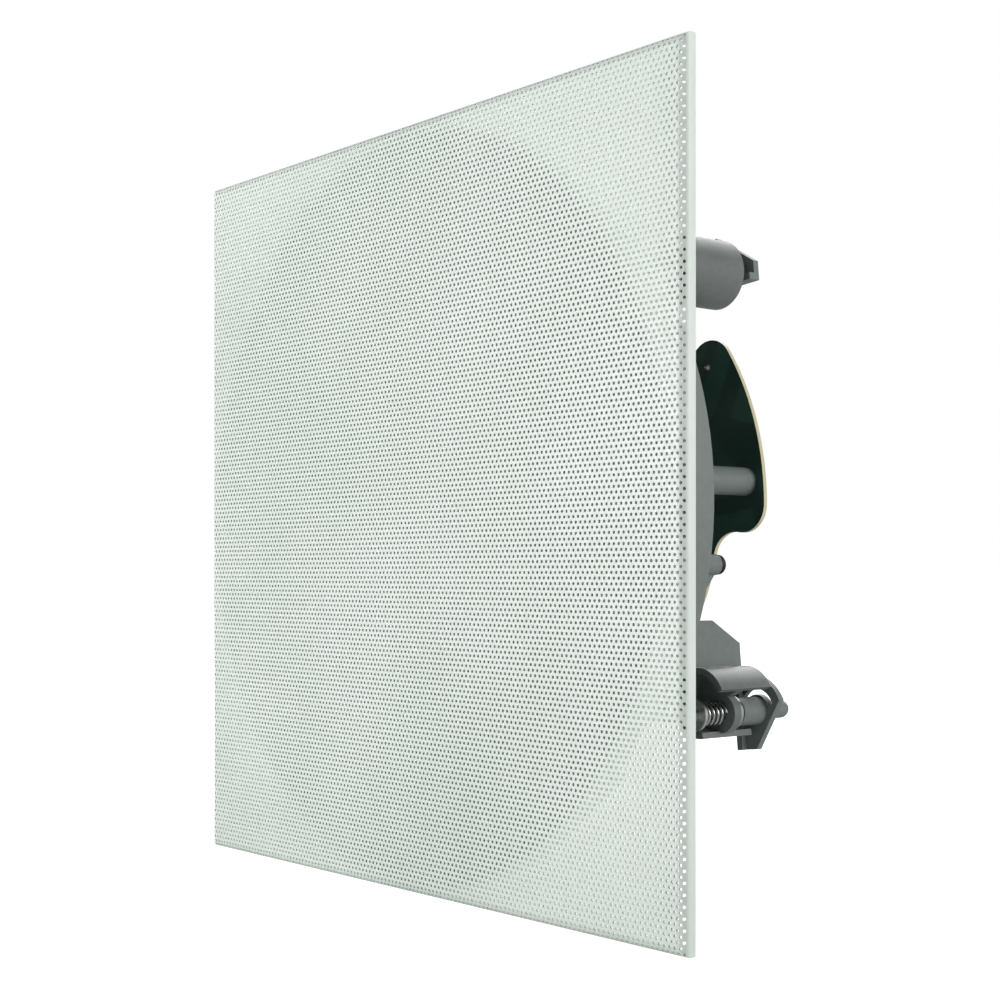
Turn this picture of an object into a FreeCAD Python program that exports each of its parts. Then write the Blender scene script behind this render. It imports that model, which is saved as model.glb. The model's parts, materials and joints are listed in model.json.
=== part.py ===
"""Two-way round ceiling speaker with a square perforated grille, shown upright as in the photograph.

Millimetres. +X is right, +Y is into the ceiling and +Z is up, seen from the listener's side.
The origin is on the speaker's axis, in the plane where the flange bears on the ceiling.
Every depth below is measured along Y from that plane.
"""
import FreeCAD, Part
import math
import os

from FreeCAD import Vector

# Grille: a folded square pan of sheet steel
grille_side = 280.0
grille_sheet = 0.8
grille_depth = 5.0
grille_bend = 3.0
grille_ceiling_gap = 1.0

# Perforation: holes all over the sheet in staggered rows, of which the solid has those of some columns and rows
grille_hole_radius = 0.55
grille_hole_pitch = 2.229
grille_row_pitch = 1.806
grille_columns_apart = 12
grille_rows_apart = 16

# Magnets that hold the grille
grille_magnet_count = 8
grille_magnet_radius = 4.0
grille_magnet_circle = 129.0
grille_magnet_pocket = 2.0
pocket_clearance = 0.1

# Moulded chassis: flange, skirt and basket
chassis_roll = 5.5
flange_radius = 137.0
flange_thickness = 4.0
flange_edge_round = 1.2
skirt_radius = 126.0
skirt_depth = 22.0
wall = 2.5
funnel_radius = 104.0
surround_seat_depth = 8.0
surround_seat_width = 10.5
basket_tube_depth = 20.0
spider_seat_depth = 42.0
spider_seat_radius = 57.0
spider_seat_width = 11.0
motor_seat_depth = 54.5
motor_seat_inner = 24.0
leg_count = 12
leg_angle = 13.0
rib_count = 16

# Cone, surround, spider and voice coil
cone_travel = 5.0
cone_edge_gap = 9.0
cone_thickness = 0.8
surround_thickness = 0.8
surround_lip = 5.0
surround_seat_overlap = 4.0
coil_radius = 18.4
former_thickness = 0.5
winding_thickness = 0.9
winding_length = 10.0
former_tail = 2.0
spider_thickness = 0.6
spider_wave = 1.2
spider_waves = 4
spider_collar = 3.0
spider_edge_gap = 1.0

# Motor: plates, ferrite ring and pole
gap_clearance = 0.6
top_plate_radius = 47.0
top_plate_thickness = 5.5
ferrite_radius = 50.0
ferrite_inner = 26.0
coil_end_room = 6.75
back_plate_radius = 46.0
back_plate_thickness = 6.0
motor_screw_circle = 33.0
motor_screw_count = 4
motor_screw_angle = 22.5
motor_screw_end_gap = 0.5
motor_screw_radius = 1.75
motor_screw_head_radius = 3.2
motor_screw_head_height = 1.8

# Tweeter on its post
stud_radius = 4.0
stud_clearance = 0.06
post_radius = 8.0
nut_across_flats = 13.0
nut_height = 6.0
stud_tail = 2.0
tweeter_radius = 22.0
tweeter_front_gap = 2.2
tweeter_depth = 18.0
tweeter_wall = 1.8
tweeter_dome_radius = 9.5
tweeter_dome_height = 4.0
tweeter_dome_thickness = 0.6
tweeter_dome_skirt = 3.0
tweeter_face_thickness = 2.4
tweeter_face_rim = 3.0
tweeter_face_break = 0.6
tweeter_throat_gap = 0.5
tweeter_back_round = 3.0
tweeter_motor_radius = 15.0

# Crossover board and what is soldered on its rear side
board_front = 76.0
board_thickness = 1.6
board_inner = 54.0
board_neck = 77.0
board_lobe_margin = 8.4
board_lobe_from = -11.5
board_lobe_to = 35.5
board_corner = 10.0
board_post_radius = 5.0
board_post_inset = 0.4
board_neck_post_circle = 68.0
board_screw_radius = 1.5
board_screw_bite = 8.0
board_screw_head_radius = 3.4
board_screw_head_height = 2.4
board_screw_head_round = 1.0
screw_hole_clearance = 0.15
pilot_hole_extra = 1.0
large_coil_radius = 17.0
large_coil_bore = 8.0
large_coil_height = 16.0
large_coil_circle = 75.0
large_coil_angle = 194.0
small_coil_radius = 10.0
small_coil_bore = 5.0
small_coil_height = 12.0
small_coil_circle = 65.5
small_coil_angle = 120.0
coil_edge_round = 1.5
capacitor_radius = 6.5
capacitor_length = 26.0
capacitor_angle = 15.0
capacitor_gap = 2.0
capacitor_edge_round = 1.0
resistor_length = 24.0
resistor_side = 9.0
resistor_angle = 60.0
tab_width = 6.3
tab_thickness = 0.8
tab_height = 11.0
tab_spacing = 12.0
tab_angle = 240.0

# Rear bosses with their dark screws
boss_count = 4
boss_wall_overlap = 0.5
boss_angle = -16.5
boss_radius = 3.5
boss_height = 42.0
boss_gusset_reach = 28.0
boss_gusset_drop = 15.0
boss_gusset_set_back = 1.0
boss_screw_head_radius = 3.3
boss_screw_head_height = 2.4
boss_screw_head_round = 0.9
boss_screw_radius = 1.6
boss_screw_bite = 12.0

# Clamps: screw, flanged nut, washer, spring and eccentric barrel, in a moulded tower
clamp_count = 4
clamp_funnel_gap = 8.0
clamp_travel = 44.0
clamp_thread_radius = 2.0
thread_clearance = 0.06
clamp_head_radius = 4.2
clamp_head_height = 2.4
clamp_head_slot = 1.2
clamp_slot_reach = 0.7
clamp_slot_depth = 0.6
clamp_screw_end_gap = 1.0
clamp_boss_radius = 6.0
clamp_boss_height = 6.5
barrel_radius = 12.4
barrel_offset = 4.0
barrel_wall = 2.2
barrel_front = 55.5
barrel_length = 25.0
barrel_open_from = -10.0
barrel_open_to = 95.0
barrel_web_thickness = 3.5
barrel_web_inset = 12.0
barrel_hub_radius = 7.0
barrel_sweep_clearance = 0.7
barrel_tower_gap = 1.0
nut_tower_gap = 1.6
swung_clamp = 0
swung_angle = 75.0
nut_sleeve_radius = 3.0
nut_flange_clearance = 0.3
nut_flange_thickness = 2.3
washer_radius = 5.5
washer_thickness = 1.2
spring_wire_radius = 0.55
spring_turns = 5.0
spring_pitch = 2.35
spring_seat_gap = 0.05
tower_wall_offset = 5.7
tower_wall_reach = 33.0
tower_chamfer_depth = 13.5
tower_chamfer_drop = 8.5
tower_foot = 13.9
tower_plate_thickness = 2.5
tower_plate_reach = 11.0
tower_plate_shoulder = 13.3
tower_shoulder_inset = 3.0
tower_nose_height = 3.3
tower_nose_half_reach = 0.58
tower_nose_half_rise = 0.72
tower_foot_inset = 1.2
tower_boss_radius = 5.0
tower_boss_length = 11.5
tower_slot_from = 15.0
tower_slot_to = 150.0
tower_slot_inner = 5.7
tower_slot_outer = 7.8
nub_radius = 3.3
nub_length = 13.0
nub_wall_end = 6.5
nub_tip_round = 3.0

# How far a cutting tool runs past the face that it cuts
cut_margin = 1.0

# Depths that follow from the sizes above
grille_front = -(grille_depth + grille_ceiling_gap)
grille_inside = grille_front + grille_sheet
flange_front = -flange_thickness
barrel_rear = barrel_front + barrel_length
web_rear = barrel_rear - barrel_web_inset
web_front = web_rear - barrel_web_thickness
nut_flange_radius = barrel_radius - barrel_wall - barrel_offset - nut_flange_clearance
nut_flange_front = web_rear + thread_clearance
nut_rear = nut_flange_front + nut_flange_thickness
tower_boss_front = nut_rear + nut_tower_gap
plate_front = tower_boss_front + tower_boss_length
plate_rear = plate_front + tower_plate_thickness
spring_radius = nut_sleeve_radius + 2.0 * spring_wire_radius
spring_length = spring_pitch * spring_turns
spring_rear = web_front - spring_seat_gap
spring_front = spring_rear - spring_length
washer_rear = spring_front - spring_seat_gap
washer_front = washer_rear - washer_thickness
former_radius = coil_radius + former_thickness
winding_radius = former_radius + winding_thickness
top_plate_rear = motor_seat_depth + top_plate_thickness
coil_reach = 0.5 * (winding_length - top_plate_thickness) + former_tail + cone_travel
ferrite_thickness = coil_reach + coil_end_room
ferrite_rear = top_plate_rear + ferrite_thickness
back_plate_rear = ferrite_rear + back_plate_thickness
board_rear = board_front + board_thickness
surround_seat_inner = funnel_radius - surround_seat_width
cone_radius = surround_seat_inner - cone_edge_gap
basket_radius = surround_seat_inner + wall
boss_circle = funnel_radius + wall + boss_radius - boss_wall_overlap
board_lobe_post_circle = basket_radius - board_post_radius - board_post_inset
board_lobe = board_lobe_post_circle + board_lobe_margin
clamp_circle = funnel_radius + wall + clamp_funnel_gap
bay_front = barrel_front - clamp_travel - barrel_sweep_clearance
clamp_place = clamp_circle / math.sqrt(2.0)
sweep_radius = barrel_radius + barrel_offset + barrel_sweep_clearance
slot_reach = sweep_radius - barrel_sweep_clearance

Y_AXIS = Vector(0, 1, 0)
CENTRE = Vector(0, 0, 0)


def save(name, *solids):
    """Write one node, a single solid or a group of separate ones."""
    shape = solids[0] if len(solids) == 1 else Part.makeCompound(list(solids))
    shape.exportStep(os.path.join("parts", name + ".step"))


def turned(profile):
    """A solid of revolution about the speaker's axis from (radius, depth) points."""
    points = [Vector(radius, depth, 0) for radius, depth in profile]
    face = Part.Face(Part.makePolygon(points + points[:1]))
    return face.revolve(CENTRE, Y_AXIS, 360)


def rod(radius, front, rear, x=0.0, z=0.0):
    """A round bar along the depth."""
    return Part.makeCylinder(radius, rear - front, Vector(x, front, z), Y_AXIS)


def ring(outer, inner, front, rear, x=0.0, z=0.0):
    """A tube along the depth."""
    return rod(outer, front, rear, x, z).cut(rod(inner, front, rear, x, z))


def block(x_range, y_range, z_range):
    """A box between the given limits."""
    size = [high - low for low, high in (x_range, y_range, z_range)]
    corner = Vector(x_range[0], y_range[0], z_range[0])
    return Part.makeBox(size[0], size[1], size[2], corner)


def spun(shape, degrees):
    """A copy turned anticlockwise, seen from the listener's side, about the speaker's axis."""
    copy = shape.copy()
    copy.rotate(CENTRE, Vector(0, -1, 0), degrees)
    return copy


def spun_about(shape, degrees, x, z):
    """A copy turned anticlockwise, seen from the listener's side, about a line at x, z."""
    copy = shape.copy()
    copy.rotate(Vector(x, 0, z), Vector(0, -1, 0), degrees)
    return copy


def joined(first, *others):
    """One solid of several that meet."""
    body = first
    for other in others:
        body = body.fuse(other)
    return body


def sector(radius, front, rear, start, end):
    """A pie slice between two angles, anticlockwise seen from the listener's side."""

    def at(degrees):
        x, z = polar(radius, degrees)
        return Vector(x, front, z)

    hub = Vector(0, front, 0)
    rim = Part.Arc(at(start), at(0.5 * (start + end)), at(end)).toShape()
    outline = Part.Wire([Part.makeLine(hub, at(start)), rim, Part.makeLine(at(end), hub)])
    return Part.Face(outline).extrude(Vector(0, rear - front, 0))


def polar(radius, degrees):
    """The x and z of a point at a radius and an angle on the chassis."""
    angle = math.radians(degrees)
    return radius * math.cos(angle), radius * math.sin(angle)


def prism(points, front, rear):
    """A plate along the depth from an outline of (x, z) points."""
    outline = Part.makePolygon([Vector(x, front, z) for x, z in points + points[:1]])
    return Part.Face(outline).extrude(Vector(0, rear - front, 0))


def grille_holes():
    """The holes in the grille's flat front, in the columns and rows that the solid has."""
    flat = grille_side / 2.0 - grille_bend - grille_hole_radius
    across = grille_hole_pitch * grille_columns_apart
    upward = grille_row_pitch * grille_rows_apart
    columns = int(flat / across)
    rows = int(flat / upward)
    return [rod(grille_hole_radius, grille_front - cut_margin, grille_inside + cut_margin,
                across * column, upward * row)
            for column in range(-columns, columns + 1) for row in range(-rows, rows + 1)]


def make_grille():
    """The square pan of perforated sheet, its front edges bent back all round."""
    half = grille_side / 2.0
    inner_half = half - grille_sheet
    rear = grille_front + grille_depth

    def pan(reach, front, bend):
        body = block((-reach, reach), (front, rear), (-reach, reach))
        front_edges = [edge for edge in body.Edges if abs(edge.CenterOfMass.y - front) < 1e-6]
        return body.makeFillet(bend, front_edges)

    sheet = pan(half, grille_front, grille_bend).cut(
        pan(inner_half, grille_inside, grille_bend - grille_sheet))
    return sheet.cut(Part.makeCompound(grille_holes()))


def magnet_places():
    """The grille magnets' centres, midway between the clamps and the sides."""
    step = 360.0 / grille_magnet_count
    return [polar(grille_magnet_circle, step * (index + 0.5)) for index in range(grille_magnet_count)]


def make_grille_magnets():
    """Disc magnets, glued in pockets and standing proud to meet the grille."""
    rear = flange_front + grille_magnet_pocket
    return [spun(rod(grille_magnet_radius, grille_inside, rear, x, z), chassis_roll)
            for x, z in magnet_places()]


def basket_inside():
    """The room inside the funnel and the basket, for the cone and the spider."""
    seat_inner = spider_seat_radius - spider_seat_width
    return turned([
        (0, flange_front - cut_margin), (funnel_radius, flange_front - cut_margin),
        (funnel_radius, surround_seat_depth), (surround_seat_inner, surround_seat_depth),
        (surround_seat_inner, basket_tube_depth - wall / 2.0),
        (spider_seat_radius, spider_seat_depth), (seat_inner, spider_seat_depth),
        (seat_inner, motor_seat_depth - wall), (motor_seat_inner, motor_seat_depth - wall),
        (motor_seat_inner, motor_seat_depth), (0, motor_seat_depth)])


def basket_outside():
    """The outer form of the funnel and the basket, filled."""
    tube = spider_seat_radius - spider_seat_width + wall
    return turned([
        (0, flange_front), (funnel_radius + wall, flange_front),
        (funnel_radius + wall, surround_seat_depth + wall), (basket_radius, surround_seat_depth + wall),
        (basket_radius, basket_tube_depth), (spider_seat_radius + wall, spider_seat_depth + wall),
        (tube, spider_seat_depth + wall), (tube, motor_seat_depth), (0, motor_seat_depth)])


def basket_windows():
    """Openings between the basket's legs."""
    step = 360.0 / leg_count
    band = ring(surround_seat_inner - wall, spider_seat_radius + wall, basket_tube_depth - wall,
                motor_seat_depth)
    gaps = [sector(flange_radius, basket_tube_depth - wall, motor_seat_depth,
                   step * index + leg_angle / 2.0, step * (index + 1) - leg_angle / 2.0)
            for index in range(leg_count)]
    return band.common(Part.makeCompound(gaps))


def tower_outline():
    """The rear plate of a clamp tower: a shoulder, a round nose and an edge along the cut-out."""
    back = -(tower_wall_offset + wall)
    start = Vector(-tower_shoulder_inset, plate_front, tower_plate_shoulder)
    nose = Vector(tower_plate_reach, plate_front, tower_nose_height)
    middle = Vector(tower_nose_half_reach * tower_plate_reach, plate_front,
                    tower_nose_half_rise * tower_plate_shoulder)
    foot = Vector(-tower_foot_inset, plate_front, -tower_foot)
    heel = Vector(back, plate_front, -tower_foot)
    top = Vector(back, plate_front, tower_plate_shoulder)
    edges = [Part.Arc(start, middle, nose).toShape(), Part.makeLine(nose, foot),
             Part.makeLine(foot, heel), Part.makeLine(heel, top), Part.makeLine(top, start)]
    return Part.Face(Part.Wire(edges))


def make_tower():
    """One clamp tower with its screw along the local origin, as at the lower right of the chassis."""
    back = -(tower_wall_offset + wall)
    panel = block((back, -tower_wall_offset), (-wall / 2.0, plate_front), (-tower_foot, tower_wall_reach))
    outside = back - cut_margin
    corner = Part.Face(Part.makePolygon([
        Vector(outside, plate_front - tower_chamfer_depth, tower_wall_reach),
        Vector(outside, plate_front, tower_wall_reach - tower_chamfer_drop),
        Vector(outside, plate_front, tower_wall_reach),
        Vector(outside, plate_front - tower_chamfer_depth, tower_wall_reach)]))
    chamfer = corner.extrude(Vector(wall + 2.0 * cut_margin, 0, 0))
    slot = block((outside, 0), (flange_front, barrel_rear + barrel_tower_gap),
                 (-tower_foot - cut_margin, slot_reach))
    plate = tower_outline().extrude(Vector(0, tower_plate_thickness, 0))
    slot_band = ring(tower_slot_outer, tower_slot_inner, plate_front, plate_rear)
    plate = plate.cut(slot_band.common(
        sector(tower_slot_outer + cut_margin, plate_front, plate_rear, tower_slot_from, tower_slot_to)))
    boss = rod(tower_boss_radius, tower_boss_front, plate_rear)
    nub = rod(nub_radius, plate_rear, plate_rear + nub_length)
    tip = [edge for edge in nub.Edges if abs(edge.CenterOfMass.y - nub.BoundBox.YMax) < 1e-6]
    nub = nub.makeFillet(nub_tip_round, tip)
    front_boss = rod(clamp_boss_radius, -wall / 2.0, clamp_boss_height)
    bore = rod(clamp_thread_radius + thread_clearance, tower_boss_front,
               plate_rear + nub_length - nub_wall_end)
    tower = joined(panel.cut(chamfer).cut(slot), plate, boss, nub, front_boss)
    return tower.cut(bore)


def clamp_turns():
    """The angle of each clamp about the axis, from the lower right one round."""
    return [chassis_roll + 360.0 / clamp_count * index for index in range(clamp_count)]


def placed_at_clamp(shape, turn):
    """Move a shape from the clamp's local origin to its place on the chassis."""
    copy = shape.copy()
    copy.translate(Vector(clamp_place, 0, -clamp_place))
    return spun(copy, turn)


def clamp_bay():
    """Room in the skirt for a barrel to swing and slide through."""
    return rod(sweep_radius, bay_front, skirt_depth + cut_margin)


def clamp_head_recess():
    """The counterbore of a clamp screw in the flange, and its hole up to the barrel's bay."""
    hole = rod(clamp_thread_radius + screw_hole_clearance, flange_front, bay_front)
    seat = rod(clamp_head_radius + screw_hole_clearance, flange_front, flange_front + clamp_head_height)
    return hole.fuse(seat)


def make_rear_boss():
    """One screw boss on the flange's rear, with a sloping gusset beside it."""
    half = wall / 2.0
    boss = rod(boss_radius, -half, boss_height, boss_circle)
    side = boss_circle - half
    top = boss_height - boss_gusset_set_back
    slope = [Vector(side, -half, 0), Vector(side, -half, -boss_gusset_reach),
             Vector(side, top - boss_gusset_drop, -boss_gusset_reach), Vector(side, top, -boss_radius),
             Vector(side, top, 0), Vector(side, -half, 0)]
    gusset = Part.Face(Part.makePolygon(slope)).extrude(Vector(wall, 0, 0))
    floor = boss_height - boss_screw_bite - pilot_hole_extra
    return boss.fuse(gusset).cut(rod(boss_screw_radius, floor, boss_height, boss_circle))


def board_post_places():
    """The crossover board's posts: radius and angle on the chassis."""
    return [(board_lobe_post_circle, 0.0), (board_neck_post_circle, 90.0),
            (board_lobe_post_circle, 180.0), (board_neck_post_circle, 270.0)]


def make_chassis():
    """The one-piece moulding that carries everything."""
    clear = basket_inside()
    flange = rod(flange_radius, flange_front, 0)
    rim = [edge for edge in flange.Edges if abs(edge.CenterOfMass.y - flange_front) < 1e-6]
    flange = flange.makeFillet(flange_edge_round, rim).cut(rod(funnel_radius, flange_front, 0))
    basket = basket_outside().cut(clear).cut(basket_windows())
    pieces = [basket, ring(skirt_radius, skirt_radius - wall, -wall / 2.0, skirt_depth)]
    for index in range(rib_count):
        rib = block((basket_radius - wall / 2.0, skirt_radius - wall / 2.0),
                    (-wall / 2.0, surround_seat_depth + 2 * wall), (-wall / 2.0, wall / 2.0))
        pieces.append(spun(rib.cut(clear), 360.0 / rib_count * (index + 0.5)))
    boss = make_rear_boss().cut(clear)
    for index in range(boss_count):
        pieces.append(spun(boss, boss_angle + 360.0 / boss_count * index))
    for radius, degrees in board_post_places():
        x, z = polar(radius, degrees)
        post = rod(board_post_radius, basket_tube_depth - wall, board_front, x, z).cut(clear)
        floor = board_front - board_screw_bite - pilot_hole_extra
        pieces.append(post.cut(rod(board_screw_radius, floor, board_front, x, z)))
    body = joined(flange, *pieces)
    for x, z in magnet_places():
        body = body.cut(rod(grille_magnet_radius + pocket_clearance, flange_front,
                            flange_front + grille_magnet_pocket, x, z))
    for x, z in motor_screw_places():
        body = body.cut(rod(motor_screw_radius + screw_hole_clearance, motor_seat_depth - wall,
                            motor_seat_depth, x, z))
    body = spun(body, chassis_roll)
    for turn in clamp_turns():
        body = body.cut(placed_at_clamp(clamp_bay(), turn))
    towers = [placed_at_clamp(make_tower(), turn).cut(clear) for turn in clamp_turns()]
    body = joined(body, *towers)
    for turn in clamp_turns():
        body = body.cut(placed_at_clamp(clamp_head_recess(), turn))
    return body


def make_cone():
    """The straight-sided diaphragm, from the surround to the voice coil."""
    return turned([
        (cone_radius, surround_seat_depth), (cone_radius, surround_seat_depth + cone_thickness),
        (former_radius, spider_seat_depth - spider_thickness),
        (former_radius, spider_seat_depth - spider_thickness - 2.0 * cone_thickness)])


def make_surround():
    """A half-roll of rubber between the cone's edge and its seat on the chassis."""
    outer = surround_seat_inner + surround_seat_overlap
    middle = 0.5 * (cone_radius + outer)
    crest = 0.5 * (outer - cone_radius)
    base = surround_seat_depth
    top = base - surround_thickness
    inner_crest = crest - surround_thickness

    def at(radius, depth):
        return Vector(radius, depth, 0)

    lip_in = cone_radius - surround_lip
    lip_out = outer + surround_lip
    edges = [
        Part.makeLine(at(lip_in, base), at(lip_in, top)),
        Part.makeLine(at(lip_in, top), at(middle - crest, top)),
        Part.Arc(at(middle - crest, top), at(middle, top - crest), at(middle + crest, top)).toShape(),
        Part.makeLine(at(middle + crest, top), at(lip_out, top)),
        Part.makeLine(at(lip_out, top), at(lip_out, base)),
        Part.makeLine(at(lip_out, base), at(middle + inner_crest, base)),
        Part.Arc(at(middle + inner_crest, base), at(middle, base - inner_crest),
                 at(middle - inner_crest, base)).toShape(),
        Part.makeLine(at(middle - inner_crest, base), at(lip_in, base))]
    return Part.Face(Part.Wire(edges)).revolve(CENTRE, Y_AXIS, 360)


def make_spider():
    """A pleated cloth disc between the voice coil and its seat."""
    inner = former_radius
    seat = spider_seat_radius - spider_seat_width + spider_edge_gap
    level = spider_seat_depth
    step = (seat - inner - spider_collar) / (2 * spider_waves)
    crown = [(inner, level), (inner + spider_collar, level)]
    for index in range(1, 2 * spider_waves):
        lift = spider_wave if index % 2 else -spider_wave
        crown.append((inner + spider_collar + step * index, level - spider_wave + lift))
    crown += [(seat, level), (spider_seat_radius - spider_edge_gap, level)]
    under = [(radius, depth - spider_thickness) for radius, depth in reversed(crown)]
    return turned(crown + under)


def make_voice_coil():
    """The former tube with its winding, standing in the motor's gap."""
    middle = motor_seat_depth + top_plate_thickness / 2.0
    front = spider_seat_depth - spider_thickness - 2.0 * cone_thickness
    rear = middle + winding_length / 2.0
    former = ring(former_radius, coil_radius, front, rear + former_tail)
    winding = ring(winding_radius, former_radius, rear - winding_length, rear)
    return joined(former, winding)


def motor_screw_places():
    """The motor screws' centres."""
    step = 360.0 / motor_screw_count
    return [polar(motor_screw_circle, step * index + motor_screw_angle)
            for index in range(motor_screw_count)]


def make_top_plate():
    """The front steel plate round the voice coil."""
    plate = ring(top_plate_radius, winding_radius + gap_clearance, motor_seat_depth, top_plate_rear)
    for x, z in motor_screw_places():
        hole = rod(motor_screw_radius, motor_seat_depth, top_plate_rear, x, z)
        plate = plate.cut(spun(hole, chassis_roll))
    return plate


def make_motor_screws():
    """Screws from the basket's floor into the top plate."""
    floor = motor_seat_depth - wall
    screws = []
    for x, z in motor_screw_places():
        head = rod(motor_screw_head_radius, floor - motor_screw_head_height, floor, x, z)
        screw = joined(head, rod(motor_screw_radius, floor, top_plate_rear - motor_screw_end_gap, x, z))
        screws.append(spun(screw, chassis_roll))
    return screws


def make_back_plate():
    """The rear steel plate and its pole, bored for the tweeter's stud."""
    plate = rod(back_plate_radius, ferrite_rear, back_plate_rear)
    pole = rod(coil_radius - gap_clearance, motor_seat_depth, ferrite_rear)
    return joined(plate, pole).cut(rod(stud_radius + stud_clearance, motor_seat_depth, back_plate_rear))


def tweeter_front():
    """The depth of the tweeter's front face."""
    return grille_inside + tweeter_front_gap


def make_tweeter_post():
    """The post on the pole that carries the tweeter, with its stud."""
    housing_rear = tweeter_front() + tweeter_depth
    stud_end = back_plate_rear + nut_height + stud_tail
    return joined(rod(post_radius, housing_rear, motor_seat_depth),
                  rod(stud_radius, motor_seat_depth, stud_end))


def make_post_nut():
    """The hexagon nut on the stud behind the magnet."""
    corner = nut_across_flats / math.sqrt(3.0)
    outline = [polar(corner, 60.0 * index) for index in range(6)]
    return prism(outline, back_plate_rear, back_plate_rear + nut_height).cut(
        rod(stud_radius + stud_clearance, back_plate_rear, back_plate_rear + nut_height))


def make_tweeter_housing():
    """A cup that is open to the front, on the post."""
    front = tweeter_front() + tweeter_face_thickness
    rear = tweeter_front() + tweeter_depth
    cup = rod(tweeter_radius, front, rear)
    back = [edge for edge in cup.Edges if abs(edge.CenterOfMass.y - rear) < 1e-6]
    return cup.makeFillet(tweeter_back_round, back).cut(
        rod(tweeter_radius - tweeter_wall, front, rear - tweeter_wall))


def make_tweeter_motor():
    """The tweeter's small magnet, on the cup's floor."""
    front = tweeter_front() + tweeter_face_thickness + tweeter_dome_height
    return rod(tweeter_motor_radius, front, tweeter_front() + tweeter_depth - tweeter_wall)


def make_tweeter_face():
    """The flared ring round the dome."""
    front = tweeter_front()
    rear = front + tweeter_face_thickness
    throat = tweeter_dome_radius + tweeter_throat_gap
    return turned([
        (tweeter_radius, front + tweeter_face_break), (tweeter_radius - tweeter_face_break, front),
        (tweeter_radius - tweeter_face_rim, front), (throat, rear - tweeter_face_break),
        (throat, rear), (tweeter_radius, rear)])


def make_tweeter_dome():
    """The dome and the flat skirt that it is glued down by."""
    level = tweeter_front() + tweeter_face_thickness
    height = tweeter_dome_height
    radius = (tweeter_dome_radius ** 2 + height ** 2) / (2.0 * height)
    outer = Part.makeSphere(radius, Vector(0, level - height + radius, 0))
    inner = Part.makeSphere(radius - tweeter_dome_thickness, Vector(0, level - height + radius, 0))
    cap = outer.cut(inner).common(rod(2.0 * radius, level - height - cut_margin, level))
    skirt = ring(tweeter_dome_radius + tweeter_dome_skirt, tweeter_dome_radius - tweeter_dome_thickness,
                 level, level + tweeter_dome_thickness)
    return joined(cap, skirt)


def make_board():
    """The ring-shaped circuit board with a round-cornered lobe on each side."""
    neck = ring(board_neck, board_inner, board_front, board_rear)
    band = ring(board_lobe, board_neck - cut_margin, board_front, board_rear)
    lobe = band.common(sector(board_lobe + cut_margin, board_front, board_rear,
                             board_lobe_from, board_lobe_to))
    board = joined(neck, lobe, spun(lobe, 180))
    tips = [edge for edge in board.Edges
            if len(edge.Vertexes) == 2 and edge.BoundBox.YLength > board_thickness / 2.0
            and edge.BoundBox.XLength + edge.BoundBox.ZLength < 1e-6
            and math.hypot(edge.CenterOfMass.x, edge.CenterOfMass.z) > board_neck - cut_margin / 2.0]
    board = board.makeFillet(board_corner, tips)
    for radius, degrees in board_post_places():
        x, z = polar(radius, degrees)
        board = board.cut(rod(board_screw_radius + screw_hole_clearance, board_front, board_rear, x, z))
    return spun(board, chassis_roll)


def make_board_screws():
    """The screws that hold the board on its posts."""
    screws = []
    for radius, degrees in board_post_places():
        x, z = polar(radius, degrees)
        head = rod(board_screw_head_radius, board_rear, board_rear + board_screw_head_height, x, z)
        rim = [edge for edge in head.Edges if abs(edge.CenterOfMass.y - head.BoundBox.YMax) < 1e-6]
        head = head.makeFillet(board_screw_head_round, rim)
        screws.append(spun(joined(head, rod(board_screw_radius, board_front - board_screw_bite,
                                            board_rear, x, z)), chassis_roll))
    return screws


def make_coil(outer, bore, height, circle, degrees):
    """An inductor that stands on the board's rear side."""
    x, z = polar(circle, degrees)
    coil = ring(outer, bore, board_rear, board_rear + height, x, z)
    rims = [edge for edge in coil.Edges if edge.Length > 6.0 * outer and edge.BoundBox.YLength < 1e-6]
    return spun(coil.makeFillet(coil_edge_round, rims), chassis_roll)


def make_capacitors():
    """Two cans that lie on the board's right lobe."""
    cans = []
    middle = board_inner + 2.0 * capacitor_radius + capacitor_gap
    for shift in (-1.0, 1.0):
        place = middle + shift * (capacitor_radius + capacitor_gap / 2.0)
        can = Part.makeCylinder(capacitor_radius, capacitor_length,
                                Vector(place, board_rear + capacitor_radius, -capacitor_length / 2.0),
                                Vector(0, 0, 1))
        ends = [edge for edge in can.Edges if edge.BoundBox.ZLength < 1e-6]
        cans.append(spun(can.makeFillet(capacitor_edge_round, ends), capacitor_angle + chassis_roll))
    return cans


def make_resistor():
    """A ceramic resistor that lies on the board's neck."""
    middle = 0.5 * (board_inner + board_neck)
    body = block((middle - resistor_side / 2.0, middle + resistor_side / 2.0),
                 (board_rear, board_rear + resistor_side),
                 (-resistor_length / 2.0, resistor_length / 2.0))
    return spun(body, resistor_angle + chassis_roll)


def make_input_tabs():
    """Two flat tabs for the cable's push-on connectors."""
    middle = 0.5 * (board_inner + board_neck)
    tabs = []
    for shift in (-0.5, 0.5):
        centre = shift * tab_spacing
        tab = block((middle - tab_width / 2.0, middle + tab_width / 2.0),
                    (board_rear, board_rear + tab_height),
                    (centre - tab_thickness / 2.0, centre + tab_thickness / 2.0))
        tabs.append(spun(tab, tab_angle + chassis_roll))
    return tabs


def make_boss_screws():
    """The dark screws in the rear bosses."""
    head = rod(boss_screw_head_radius, boss_height, boss_height + boss_screw_head_height, boss_circle)
    rim = [edge for edge in head.Edges if abs(edge.CenterOfMass.y - head.BoundBox.YMax) < 1e-6]
    shank = rod(boss_screw_radius, boss_height - boss_screw_bite, boss_height, boss_circle)
    screw = joined(head.makeFillet(boss_screw_head_round, rim), shank)
    return [spun(screw, boss_angle + chassis_roll + 360.0 / boss_count * index)
            for index in range(boss_count)]


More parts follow.
